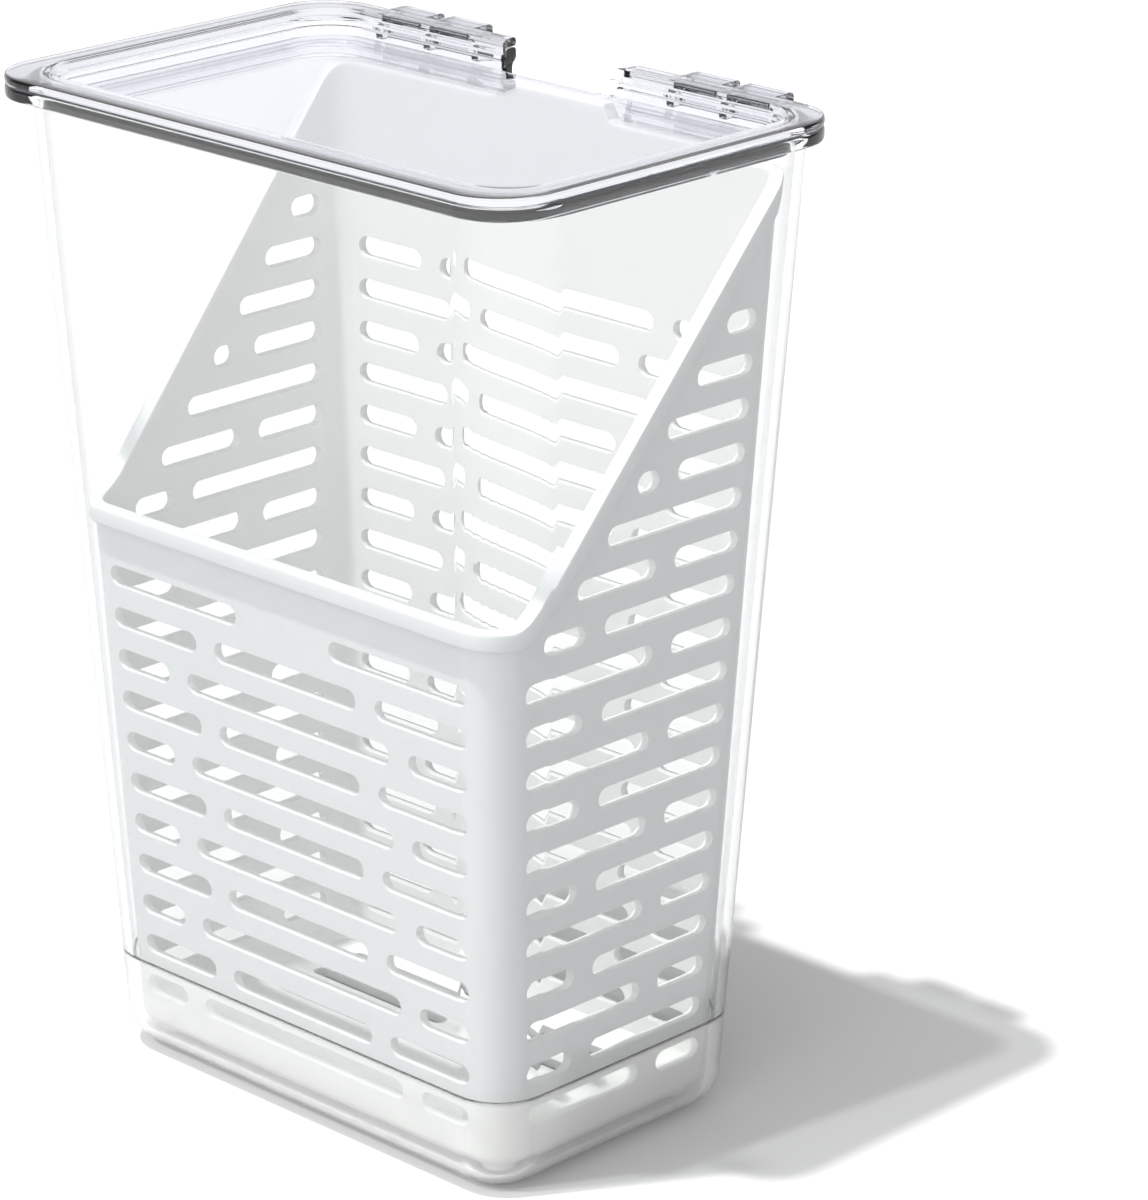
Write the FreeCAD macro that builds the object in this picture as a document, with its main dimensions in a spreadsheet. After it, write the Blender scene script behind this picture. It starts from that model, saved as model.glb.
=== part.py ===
import FreeCAD, Part
import math
import os

import Sketcher

Vector = FreeCAD.Vector
UP = Vector(0, 0, 1)

# Herb keeper: a clear tapered container with a hinged clear lid and a slotted white basket.
# The origin is the centre of the foot, +Z is up and the low front of the basket faces -Y.

doc = FreeCAD.newDocument("herb_keeper")
sheet = doc.addObject("Spreadsheet::Sheet", "sizes")

# Each driving dimension: its alias, its value in millimetres and what it is.
DRIVING_SIZES = [
    ("foot_width", 130, "container width at the table"),
    ("foot_depth", 78, "container depth at the table"),
    ("corner", 14.5, "outer corner radius of the walls"),
    ("rim_height", 231.5, "top of the container rim"),
    ("side_lean", 15, "how far each side wall leans out from foot to rim"),
    ("front_lean", 10.5, "how far the front wall leans out"),
    ("back_lean", 12.5, "how far the back wall leans out"),
    ("wall", 2.2, "container wall"),
    ("floor_thickness", 2.6, "container floor"),
    ("bottom_round", 9, "outer radius between floor and walls"),
    ("floor_bevel", 3.4, "inner bevel between floor and walls"),
    ("ledge", 1.2, "extra wall below the fill line"),
    ("fill_height", 23, "height of the fill line"),
    ("rim_thickness", 3, "height of the rim flange"),
    ("side_flange", 2.2, "flange beyond the side walls"),
    ("front_flange", 4, "flange beyond the front wall"),
    ("back_flange", 1, "flange beyond the back wall"),
    ("flange_corner", 14, "corner radius of the flange"),
    ("notch_width", 39, "pouring notch in the back"),
    ("notch_depth", 12.5, "notch below the rim"),
    ("notch_round", 7, "radius in the notch corners"),
    ("hinge_start", 29.5, "inner end of a hinge from the middle"),
    ("hinge_length", 34, "one hinge from end to end"),
    ("lug_thickness", 2.4, "lug that holds the hinge pin"),
    ("lug_radius", 2.6, "round end of a lug"),
    ("pin_radius", 1.8, "hinge pin"),
    ("pin_clearance", 0.15, "between pin and clip"),
    ("clip_wall", 1.4, "wall of the clip round the pin"),
    ("clip_gap", 0.4, "between the clip and the rim"),
    ("clip_side_gap", 0.4, "between the clip and a lug"),
    ("clip_mouth", 110, "open angle of the clip in degrees"),
    ("lid_gap", 0.3, "between the rim and the lid"),
    ("lid_thickness", 2, "lid flange"),
    ("lid_clearance", 0.7, "between the lid plug and the container"),
    ("lid_wall", 1.8, "wall of the lid plug"),
    ("step_depth", 2.5, "upper step of the lid recess"),
    ("step_width", 1.5, "width of that step"),
    ("recess_depth", 6, "lid panel below the lid top"),
    ("panel", 1.8, "lid panel"),
    ("lid_notch", 8, "notch of the lid from its back edge"),
    ("seat_gap", 0.3, "between basket feet and floor"),
    ("basket_feet", 2, "height of the basket feet"),
    ("feet_radius", 4, "radius of a basket foot"),
    ("basket_wall", 2.2, "basket wall and floor"),
    ("basket_bevel", 4, "outer bevel between basket floor and walls"),
    ("basket_corner", 8, "corner radius of the basket"),
    ("foot_clearance", 1, "basket to container at the floor"),
    ("side_clearance", 4.6, "basket lip to side walls at the shoulders"),
    ("front_clearance", 0.7, "basket lip to front and back walls"),
    ("lip", 2, "basket lip beyond its wall"),
    ("lip_height", 4, "height of the lip"),
    ("front_rim", 135, "top of the basket's low front"),
    ("tongue_clearance", 1.8, "basket tongue to the lid above it"),
    ("slope_front", 7.5, "level rim at the front, from the front wall"),
    ("slope_back", 5, "level rim at the back, from the back wall"),
    ("tongue_width", 32, "raised tongue at the back"),
    ("tongue_height", 3.7, "tongue above the shoulders"),
    ("tongue_round", 3.5, "radius between tongue and shoulders"),
    ("slot_height", 5, "one slot"),
    ("slot_end_sides", 3, "straight sides that make each half-round slot end"),
    ("slot_pitch", 10.13, "from one row of slots to the next"),
    ("lowest_row", 9.9, "lowest slots above the basket's bottom"),
    ("front_margin", 13, "plain wall under the front rim"),
    ("back_margin", 38, "plain wall under the back rim"),
    ("top_margin", 28, "highest slots of all below the back rim"),
    ("slot_margin", 8.6, "solid corner beside the slots"),
    ("slope_margin", 12.5, "solid strip behind the sloping rim"),
    ("bridge", 6, "solid bridge between two slots"),
    ("name_gap", 30, "plain place in the top row of the front"),
    ("wide_slot", 66, "middle slot of an even row"),
    ("narrow_slot", 46, "middle slot of an odd row"),
    ("side_even", 10, "middle of the bridge in an even side row"),
    ("side_odd", -11.3, "middle of the bridge in an odd side row"),
    ("drain_pitch", 12, "from one drain slot to the next"),
    ("drain_width", 4, "width of a drain slot"),
    ("drain_length", 44, "length of a drain slot"),
]
for row, (alias, value, note) in enumerate(DRIVING_SIZES, start=1):
    sheet.set(f"A{row}", note)
    sheet.set(f"B{row}", str(value))
    sheet.setAlias(f"B{row}", alias)
doc.recompute()


def size(expression):
    """The number that an expression over the sheet gives now."""
    result = sheet.evalExpression(expression)
    return float(getattr(result, "Value", result))


def bind(feature, **expressions):
    for name, expression in expressions.items():
        feature.setExpression(name.replace("__", "."), expression)


def leaning(start, lean, height):
    """A distance from the middle to a leaning wall, at a height."""
    return f"({start} + {lean} * ({height}) / sizes.rim_height)"


def wall_outline(height, inset):
    """Half width, front, back and corner of the container's wall at a height."""
    return (
        f"{leaning('sizes.foot_width / 2', 'sizes.side_lean', height)} - ({inset})",
        f"{leaning('sizes.foot_depth / 2', 'sizes.front_lean', height)} - ({inset})",
        f"{leaning('sizes.foot_depth / 2', 'sizes.back_lean', height)} - ({inset})",
        f"sizes.corner - ({inset})",
    )


def grown(outline, margin):
    return tuple(f"{distance} + ({margin})" for distance in outline)


def origin_plane(body, role):
    return next(plane for plane in body.Origin.OriginFeatures if plane.Role == role)


def new_sketch(body, name, role, offset):
    """A sketch on a body's own origin plane, moved along the plane's normal."""
    sketch = body.newObject("Sketcher::SketchObject", name)
    sketch.AttachmentSupport = (origin_plane(body, role), [""])
    sketch.MapMode = "FlatFace"
    sketch.setExpression("AttachmentOffset.Base.z", offset)
    return sketch


def free_sketch(name, rotation, offset_axis, offset):
    """A sketch outside any body, turned to its plane and moved along one axis."""
    sketch = doc.addObject("Sketcher::SketchObject", name)
    sketch.Placement = FreeCAD.Placement(Vector(), rotation)
    sketch.setExpression(f"Placement.Base.{offset_axis}", offset)
    return sketch


def dimension(sketch, name, expression, *constraint):
    """A named constraint of a sketch, bound to an expression."""
    number = sketch.addConstraint(Sketcher.Constraint(*constraint, size(expression)))
    sketch.renameConstraint(number, name)
    sketch.setExpression(f"Constraints.{name}", expression)


def rounded_rectangle(sketch, outline):
    """Four lines and four arcs, symmetric about the sketch's vertical axis."""
    half, front, back, corner = (size(distance) for distance in outline)
    ends = [
        (Vector(corner - half, -front), Vector(half - corner, -front)),
        (Vector(half, corner - front), Vector(half, back - corner)),
        (Vector(half - corner, back), Vector(corner - half, back)),
        (Vector(-half, back - corner), Vector(-half, corner - front)),
    ]
    for start, end in ends:
        sketch.addGeometry(Part.LineSegment(start, end))
    middles = [
        Vector(half - corner, corner - front),
        Vector(half - corner, back - corner),
        Vector(corner - half, back - corner),
        Vector(corner - half, corner - front),
    ]
    for quarter, middle in enumerate(middles):
        start = (quarter - 1) * math.pi / 2
        circle = Part.Circle(middle, UP, corner)
        sketch.addGeometry(Part.ArcOfCircle(circle, start, start + math.pi / 2))
    for line in range(4):
        arc = 4 + line
        sketch.addConstraint(Sketcher.Constraint("Tangent", line, 2, arc, 1))
        sketch.addConstraint(Sketcher.Constraint("Tangent", arc, 2, (line + 1) % 4, 1))
    sketch.addConstraint(Sketcher.Constraint("Horizontal", 2))
    sketch.addConstraint(Sketcher.Constraint("Vertical", 1))
    sketch.addConstraint(Sketcher.Constraint("Vertical", 3))
    for arc in (5, 6, 7):
        sketch.addConstraint(Sketcher.Constraint("Equal", 4, arc))
    sketch.addConstraint(Sketcher.Constraint("Symmetric", 0, 1, 0, 2, -2))
    dimension(sketch, "corner", outline[3], "Radius", 4)
    dimension(sketch, "width", f"2 * ({outline[0]})", "DistanceX", 3, 1, 1, 1)
    dimension(sketch, "front", outline[1], "DistanceY", 0, 1, -1, 1)
    dimension(sketch, "back", outline[2], "DistanceY", -1, 1, 2, 1)


def polygon(sketch, points):
    """A closed line through points, each given by two expressions."""
    places = [Vector(size(across), size(along)) for across, along in points]
    count = len(places)
    for number, place in enumerate(places):
        sketch.addGeometry(Part.LineSegment(place, places[(number + 1) % count]))
    for number in range(count):
        sketch.addConstraint(Sketcher.Constraint("Coincident", number, 2, (number + 1) % count, 1))
    for number, (across, along) in enumerate(points):
        dimension(sketch, f"across{number}", across, "DistanceX", -1, 1, number, 1)
        dimension(sketch, f"along{number}", along, "DistanceY", -1, 1, number, 1)


def outline_in(body, name, height, outline):
    sketch = new_sketch(body, name, "XY_Plane", height)
    rounded_rectangle(sketch, outline)
    return sketch


def edges_where(shape, wanted):
    """The names of the edges whose bounding box is wanted."""
    return [f"Edge{number}" for number, edge in enumerate(shape.Edges, start=1) if wanted(edge.BoundBox)]


def dress_in(body, kind, name, value, wanted):
    """A fillet or a chamfer on the edges of the body so far whose bounding box is wanted."""
    doc.recompute()
    base = body.Tip
    dressed = body.newObject(f"PartDesign::{kind}", name)
    dressed.Base = (base, edges_where(base.Shape, wanted))
    dressed.setExpression("Radius" if kind == "Fillet" else "Size", value)
    doc.recompute()


def tapered_body(name, low, high, outline_at, lower_edge=None):
    """A body whose four walls lean, with round corners. The lower edge has a kind and a size."""
    body = doc.addObject("PartDesign::Body", name)
    wedge = body.newObject("PartDesign::AdditiveWedge", f"{name}_walls")
    wedge.AttachmentSupport = (origin_plane(body, "XZ_Plane"), [""])
    wedge.MapMode = "FlatFace"
    bind(wedge, Ymin=low, Ymax=high)
    for end, height in (("", low), ("2", high)):
        half, front, back, corner = outline_at(height)
        wedge.setExpression(f"X{end}min", f"-({half})")
        wedge.setExpression(f"X{end}max", half)
        wedge.setExpression(f"Z{end}min", f"-({back})")
        wedge.setExpression(f"Z{end}max", front)
    tall = (size(high) - size(low)) / 2
    dress_in(body, "Fillet", f"{name}_corners", corner, lambda box: box.ZLength > tall)
    if lower_edge:
        kind, value = lower_edge
        foot = size(low) + 0.001
        dress_in(body, kind, f"{name}_lower_edge", value, lambda box: box.ZMax < foot)
    return body


def pad_in(body, name, sketch, length):
    pad = body.newObject("PartDesign::Pad", name)
    pad.Profile = (sketch, [""])
    pad.setExpression("Length", length)
    return pad


def pocket_in(body, name, sketch, length, reverse=False):
    """A pocket, checked to take material away."""
    doc.recompute()
    before = body.Shape.Volume
    pocket = body.newObject("PartDesign::Pocket", name)
    pocket.Profile = (sketch, [""])
    pocket.Reversed = reverse
    pocket.setExpression("Length", length)
    doc.recompute()
    if body.Shape.Volume > before - 1:
        raise RuntimeError(f"{name} cuts nothing")
    return pocket


def mirrored_in(body, name, originals):
    doc.recompute()
    mirrored = body.newObject("PartDesign::Mirrored", name)
    mirrored.Originals = originals
    mirrored.MirrorPlane = (origin_plane(body, "YZ_Plane"), [""])
    body.Tip = mirrored
    doc.recompute()
    return mirrored


# Places that more than one piece uses
FLANGE = (
    "sizes.foot_width / 2 + sizes.side_lean + sizes.side_flange",
    "sizes.foot_depth / 2 + sizes.front_lean + sizes.front_flange",
    "sizes.foot_depth / 2 + sizes.back_lean + sizes.back_flange",
    "sizes.flange_corner",
)
BACK_EDGE = f"({FLANGE[2]})"
CLIP_RADIUS = "(sizes.pin_radius + sizes.pin_clearance + sizes.clip_wall)"
AXIS_Y = f"({BACK_EDGE} + sizes.clip_gap + {CLIP_RADIUS})"
AXIS_Z = "(sizes.rim_height - sizes.lug_radius)"
LID_BOTTOM = "(sizes.rim_height + sizes.lid_gap)"
LID_TOP = f"({LID_BOTTOM} + sizes.lid_thickness)"
PANEL_UNDER = f"({LID_TOP} - sizes.recess_depth - sizes.panel)"
TONGUE_TOP = f"({PANEL_UNDER} - sizes.tongue_clearance)"
SHOULDER = f"({TONGUE_TOP} - sizes.tongue_height)"
OVERLAP = "1"


def container_walls():
    """The tapered shell with its rim, thin above the fill line and thicker below it."""

    def outer(height):
        return wall_outline(height, "0")

    def below_line(height):
        return wall_outline(height, "sizes.wall + sizes.ledge")

    def above_line(height):
        return wall_outline(height, "sizes.wall")

    body = tapered_body("container", "0", "sizes.rim_height", outer, ("Fillet", "sizes.bottom_round"))
    flange = outline_in(body, "flange_outline", "sizes.rim_height - sizes.rim_thickness", FLANGE)
    pad_in(body, "rim_flange", flange, "sizes.rim_thickness")

    above_rim = f"sizes.rim_height + {OVERLAP}"
    bevel = ("Chamfer", "sizes.floor_bevel")
    lower = tapered_body("lower_space", "sizes.floor_thickness", above_rim, below_line, bevel)
    upper = tapered_body("upper_space", "sizes.fill_height", above_rim, above_line)
    hollow = body.newObject("PartDesign::Boolean", "hollow")
    hollow.Type = "Cut"
    hollow.setObjects([lower, upper])
    doc.recompute()
    return body


def container_notch(body):
    """The pouring notch through the back wall and its rim, with round lower corners."""
    sketch = new_sketch(body, "notch_outline", "XZ_Plane", "0")
    half = size("sizes.notch_width / 2")
    low = size("sizes.rim_height - sizes.notch_depth")
    high = size("sizes.rim_height + 5")
    radius = size("sizes.notch_round")
    corners = [Vector(-half, high), Vector(-half, low + radius), Vector(radius - half, low)]
    corners += [Vector(half - radius, low), Vector(half, low + radius), Vector(half, high)]
    left, bottom, right, top, left_round, right_round = range(6)
    sketch.addGeometry(Part.LineSegment(corners[0], corners[1]))
    sketch.addGeometry(Part.LineSegment(corners[2], corners[3]))
    sketch.addGeometry(Part.LineSegment(corners[4], corners[5]))
    sketch.addGeometry(Part.LineSegment(corners[5], corners[0]))
    left_circle = Part.Circle(Vector(radius - half, low + radius), UP, radius)
    right_circle = Part.Circle(Vector(half - radius, low + radius), UP, radius)
    sketch.addGeometry(Part.ArcOfCircle(left_circle, math.pi, 1.5 * math.pi))
    sketch.addGeometry(Part.ArcOfCircle(right_circle, 1.5 * math.pi, 2 * math.pi))
    sketch.addConstraint(Sketcher.Constraint("Tangent", left, 2, left_round, 1))
    sketch.addConstraint(Sketcher.Constraint("Tangent", left_round, 2, bottom, 1))
    sketch.addConstraint(Sketcher.Constraint("Tangent", bottom, 2, right_round, 1))
    sketch.addConstraint(Sketcher.Constraint("Tangent", right_round, 2, right, 1))
    sketch.addConstraint(Sketcher.Constraint("Coincident", right, 2, top, 1))
    sketch.addConstraint(Sketcher.Constraint("Coincident", top, 2, left, 1))
    sketch.addConstraint(Sketcher.Constraint("Vertical", left))
    sketch.addConstraint(Sketcher.Constraint("Vertical", right))
    sketch.addConstraint(Sketcher.Constraint("Equal", left_round, right_round))
    sketch.addConstraint(Sketcher.Constraint("Symmetric", top, 1, top, 2, -2))
    dimension(sketch, "round", "sizes.notch_round", "Radius", left_round)
    dimension(sketch, "width", "sizes.notch_width", "DistanceX", top, 2, top, 1)
    dimension(sketch, "bottom", "sizes.rim_height - sizes.notch_depth", "DistanceY", -1, 1, bottom, 1)
    dimension(sketch, "top", "sizes.rim_height + 5", "DistanceY", -1, 1, top, 1)
    pocket_in(body, "pouring_notch", sketch, f"{BACK_EDGE} + {OVERLAP}")


def lug_starts():
    """Where the three lugs of one hinge begin, from the middle of the keeper."""
    last = "sizes.hinge_start + sizes.hinge_length - sizes.lug_thickness"
    middle = "sizes.hinge_start + (sizes.hinge_length - sizes.lug_thickness) / 2"
    return ["sizes.hinge_start", middle, last]


def lug_outline(sketch):
    """A level tab from the rim that ends in a half round about the hinge axis."""
    inner = f"{BACK_EDGE} - {OVERLAP}"
    near, axis_y, axis_z = size(inner), size(AXIS_Y), size(AXIS_Z)
    radius = size("sizes.lug_radius")
    top, bottom = axis_z + radius, axis_z - radius
    sketch.addGeometry(Part.LineSegment(Vector(axis_y, top), Vector(near, top)))
    sketch.addGeometry(Part.LineSegment(Vector(near, top), Vector(near, bottom)))
    sketch.addGeometry(Part.LineSegment(Vector(near, bottom), Vector(axis_y, bottom)))
    circle = Part.Circle(Vector(axis_y, axis_z), UP, radius)
    sketch.addGeometry(Part.ArcOfCircle(circle, -math.pi / 2, math.pi / 2))
    sketch.addConstraint(Sketcher.Constraint("Coincident", 0, 2, 1, 1))
    sketch.addConstraint(Sketcher.Constraint("Coincident", 1, 2, 2, 1))
    sketch.addConstraint(Sketcher.Constraint("Tangent", 2, 2, 3, 1))
    sketch.addConstraint(Sketcher.Constraint("Tangent", 3, 2, 0, 1))
    sketch.addConstraint(Sketcher.Constraint("Horizontal", 0))
    sketch.addConstraint(Sketcher.Constraint("Vertical", 1))
    dimension(sketch, "radius", "sizes.lug_radius", "Radius", 3)
    dimension(sketch, "axis_back", AXIS_Y, "DistanceX", -1, 1, 3, 3)
    dimension(sketch, "axis_up", AXIS_Z, "DistanceY", -1, 1, 3, 3)
    dimension(sketch, "near", inner, "DistanceX", -1, 1, 1, 1)


def container_hinges(body):
    """Three lugs and a pin behind the rim, mirrored to the other side."""
    parts = []
    for number, start in enumerate(lug_starts(), start=1):
        sketch = new_sketch(body, f"lug_outline_{number}", "YZ_Plane", start)
        lug_outline(sketch)
        parts.append(pad_in(body, f"lug_{number}", sketch, "sizes.lug_thickness"))
    sketch = new_sketch(body, "pin_outline", "YZ_Plane", "sizes.hinge_start + sizes.lug_thickness / 2")
    circle = Part.Circle(Vector(size(AXIS_Y), size(AXIS_Z)), UP, size("sizes.pin_radius"))
    sketch.addGeometry(circle)
    dimension(sketch, "radius", "sizes.pin_radius", "Radius", 0)
    dimension(sketch, "axis_back", AXIS_Y, "DistanceX", -1, 1, 0, 3)
    dimension(sketch, "axis_up", AXIS_Z, "DistanceY", -1, 1, 0, 3)
    parts.append(pad_in(body, "hinge_pin", sketch, "sizes.hinge_length - sizes.lug_thickness"))
    mirrored_in(body, "other_hinge", parts)


def make_container():
    body = container_walls()
    container_notch(body)
    container_hinges(body)
    return body


def lid_panel(body):
    """The flange and the stepped plug, hollowed from above down to the panel."""
    step_floor = f"({LID_TOP} - sizes.step_depth)"
    step_under = f"({step_floor} - sizes.lid_wall)"
    upper = wall_outline(step_under, "sizes.wall + sizes.lid_clearance")
    lower = grown(upper, "-sizes.step_width")

    plug = outline_in(body, "lower_plug_outline", PANEL_UNDER, lower)
    pad_in(body, "lower_plug", plug, f"{step_under} - {PANEL_UNDER}")
    plug = outline_in(body, "upper_plug_outline", step_under, upper)
    pad_in(body, "upper_plug", plug, f"{LID_BOTTOM} - {step_under}")
    flange = outline_in(body, "lid_flange_outline", LID_BOTTOM, FLANGE)
    pad_in(body, "lid_flange", flange, "sizes.lid_thickness")

    hollow = outline_in(body, "upper_recess_outline", LID_TOP, grown(upper, "-sizes.lid_wall"))
    pocket_in(body, "upper_recess", hollow, "sizes.step_depth")
    hollow = outline_in(body, "lower_recess_outline", step_floor, grown(lower, "-sizes.lid_wall"))
    pocket_in(body, "lower_recess", hollow, "sizes.recess_depth - sizes.step_depth")


def lid_notch(body):
    """The notch above the container's notch, with round corners in the panel."""
    sketch = new_sketch(body, "lid_notch_outline", "XY_Plane", f"{LID_TOP} + {OVERLAP}")
    half = size("sizes.notch_width / 2")
    near = size(f"{BACK_EDGE} - sizes.lid_notch")
    far = size(f"{BACK_EDGE} + 2")
    radius = size("sizes.notch_round")
    sketch.addGeometry(Part.LineSegment(Vector(-half, far), Vector(-half, near + radius)))
    sketch.addGeometry(Part.LineSegment(Vector(radius - half, near), Vector(half - radius, near)))
    sketch.addGeometry(Part.LineSegment(Vector(half, near + radius), Vector(half, far)))
    sketch.addGeometry(Part.LineSegment(Vector(half, far), Vector(-half, far)))
    left_circle = Part.Circle(Vector(radius - half, near + radius), UP, radius)
    right_circle = Part.Circle(Vector(half - radius, near + radius), UP, radius)
    sketch.addGeometry(Part.ArcOfCircle(left_circle, math.pi, 1.5 * math.pi))
    sketch.addGeometry(Part.ArcOfCircle(right_circle, 1.5 * math.pi, 2 * math.pi))
    sketch.addConstraint(Sketcher.Constraint("Tangent", 0, 2, 4, 1))
    sketch.addConstraint(Sketcher.Constraint("Tangent", 4, 2, 1, 1))
    sketch.addConstraint(Sketcher.Constraint("Tangent", 1, 2, 5, 1))
    sketch.addConstraint(Sketcher.Constraint("Tangent", 5, 2, 2, 1))
    sketch.addConstraint(Sketcher.Constraint("Coincident", 2, 2, 3, 1))
    sketch.addConstraint(Sketcher.Constraint("Coincident", 3, 2, 0, 1))
    sketch.addConstraint(Sketcher.Constraint("Vertical", 0))
    sketch.addConstraint(Sketcher.Constraint("Vertical", 2))
    sketch.addConstraint(Sketcher.Constraint("Equal", 4, 5))
    sketch.addConstraint(Sketcher.Constraint("Symmetric", 3, 1, 3, 2, -2))
    dimension(sketch, "round", "sizes.notch_round", "Radius", 4)
    dimension(sketch, "width", "sizes.notch_width", "DistanceX", 3, 2, 3, 1)
    dimension(sketch, "near", f"{BACK_EDGE} - sizes.lid_notch", "DistanceY", -1, 1, 1, 1)
    dimension(sketch, "far", f"{BACK_EDGE} + 2", "DistanceY", -1, 1, 3, 1)
    pocket_in(body, "back_notch", sketch, "sizes.recess_depth + sizes.panel + 3")


def clip_outline(sketch):
    """A broken ring round the pin, open downwards."""
    axis = Vector(size(AXIS_Y), size(AXIS_Z))
    inner = size("sizes.pin_radius + sizes.pin_clearance")
    outer = size(CLIP_RADIUS)
    half_mouth = math.radians(size("sizes.clip_mouth") / 2)
    start = half_mouth - math.pi / 2
    end = 1.5 * math.pi - half_mouth
    sketch.addGeometry(Part.ArcOfCircle(Part.Circle(axis, UP, outer), start, end))
    sketch.addGeometry(Part.ArcOfCircle(Part.Circle(axis, UP, inner), start, end))
    for angle, turn in ((end, 1), (start, -1)):
        way = Vector(math.cos(angle), math.sin(angle))
        ends = [axis + way * outer, axis + way * inner][::turn]
        sketch.addGeometry(Part.LineSegment(ends[0], ends[1]))
    sketch.addConstraint(Sketcher.Constraint("Coincident", 0, 2, 2, 1))
    sketch.addConstraint(Sketcher.Constraint("Coincident", 2, 2, 1, 2))
    sketch.addConstraint(Sketcher.Constraint("Coincident", 1, 1, 3, 1))
    sketch.addConstraint(Sketcher.Constraint("Coincident", 3, 2, 0, 1))
    sketch.addConstraint(Sketcher.Constraint("Coincident", 0, 3, 1, 3))
    sketch.addConstraint(Sketcher.Constraint("Horizontal", 0, 1, 0, 2))
    sketch.addConstraint(Sketcher.Constraint("Horizontal", 1, 1, 1, 2))
    dimension(sketch, "outer", CLIP_RADIUS, "Radius", 0)
    dimension(sketch, "inner", "sizes.pin_radius + sizes.pin_clearance", "Radius", 1)
    dimension(sketch, "axis_back", AXIS_Y, "DistanceX", -1, 1, 0, 3)
    dimension(sketch, "axis_up", AXIS_Z, "DistanceY", -1, 1, 0, 3)
    mouth = f"2 * {CLIP_RADIUS} * sin(sizes.clip_mouth * 0.5 deg)"
    dimension(sketch, "mouth", mouth, "DistanceX", 0, 2, 0, 1)
    ring_mouth = "2 * (sizes.pin_radius + sizes.pin_clearance) * sin(sizes.clip_mouth * 0.5 deg)"
    dimension(sketch, "inner_mouth", ring_mouth, "DistanceX", 1, 2, 1, 1)


def lid_clips(body):
    """Two clips a side between the lugs, each with an arm from the lid's edge."""
    length = "(sizes.hinge_length - 3 * sizes.lug_thickness) / 2 - 2 * sizes.clip_side_gap"
    arm_back = f"{AXIS_Y} + {CLIP_RADIUS} / 2"
    ring_top = f"{AXIS_Z} + sizes.pin_radius + sizes.pin_clearance + 0.2"
    clear_of_rim = f"{BACK_EDGE} + sizes.clip_gap"
    arm = [
        (f"{BACK_EDGE} - {OVERLAP}", LID_BOTTOM),
        (clear_of_rim, LID_BOTTOM),
        (clear_of_rim, ring_top),
        (arm_back, ring_top),
        (arm_back, LID_TOP),
        (f"{BACK_EDGE} - {OVERLAP}", LID_TOP),
    ]
    parts = []
    for number, lug in enumerate(lug_starts()[:2], start=1):
        start = f"{lug} + sizes.lug_thickness + sizes.clip_side_gap"
        sketch = new_sketch(body, f"arm_outline_{number}", "YZ_Plane", start)
        polygon(sketch, arm)
        parts.append(pad_in(body, f"arm_{number}", sketch, length))
        sketch = new_sketch(body, f"clip_outline_{number}", "YZ_Plane", start)
        clip_outline(sketch)
        parts.append(pad_in(body, f"clip_{number}", sketch, length))
    mirrored_in(body, "other_clips", parts)


def make_lid():
    body = doc.addObject("PartDesign::Body", "lid")
    body.Label = "lid"
    lid_panel(body)
    lid_notch(body)
    lid_clips(body)
    return body


# The basket's bottom, and its walls between bottom and shoulders
BASKET_BOTTOM = "(sizes.floor_thickness + sizes.seat_gap + sizes.basket_feet)"
BASKET_RISE = f"({SHOULDER} - {BASKET_BOTTOM})"


def basket_outline(height):
    """Half width, front, back and corner of the basket's wall at a height."""
    foot = wall_outline(BASKET_BOTTOM, "sizes.wall + sizes.ledge + sizes.foot_clearance")
    top = wall_outline(SHOULDER, "sizes.wall + sizes.lip")
    clearances = ("sizes.side_clearance", "sizes.front_clearance", "sizes.front_clearance")
    outline = []
    for low, high, clearance in zip(foot, top, clearances):
        share = f"(({height}) - {BASKET_BOTTOM}) / {BASKET_RISE}"
        outline.append(f"(({low}) + (({high}) - {clearance} - ({low})) * {share})")
    return tuple(outline) + ("sizes.basket_corner",)


def side_extrusion(name, points, half_width):
    """A profile in the YZ plane, extruded to both sides of the middle."""
    turned = FreeCAD.Rotation(Vector(0, 1, 0), Vector(0, 0, 1), Vector(1, 0, 0), "ZXY")
    sketch = free_sketch(f"{name}_profile", turned, "x", "0")
    polygon(sketch, points)
    solid = doc.addObject("Part::Extrusion", name)
    solid.Base = sketch
    solid.DirMode = "Custom"
    solid.Dir = Vector(1, 0, 0)
    solid.Solid = True
    solid.Symmetric = True
    solid.setExpression("LengthFwd", f"2 * ({half_width})")
    return solid


def boolean(kind, name, base, tool):
    result = doc.addObject(f"Part::{kind}", name)
    result.Base = base
    result.Tool = tool
    return result


def fuse(name, shapes):
    result = doc.addObject("Part::MultiFuse", name)
    result.Shapes = shapes
    return result


FRONT_WALL = f"({basket_outline('sizes.front_rim')[1]})"
BACK_WALL = f"({basket_outline(SHOULDER)[2]})"
SLOPE_START = f"(sizes.slope_front - {FRONT_WALL})"
SLOPE_END = f"({BACK_WALL} - sizes.slope_back)"
SLOPE_RISE = f"({SHOULDER} - sizes.front_rim)"
SLOPE_RUN = f"({SLOPE_END} - {SLOPE_START})"


def rim_line(back, down):
    """The basket's rim seen from the side: level, sloping, then level again."""
    far = "100"
    return [
        (f"-{far}", f"sizes.front_rim - ({down})"),
        (f"{SLOPE_START} + ({back})", f"sizes.front_rim - ({down})"),
        (f"{SLOPE_END} + ({back})", f"{SHOULDER} - ({down})"),
        (far, f"{SHOULDER} - ({down})"),
    ]


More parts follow.
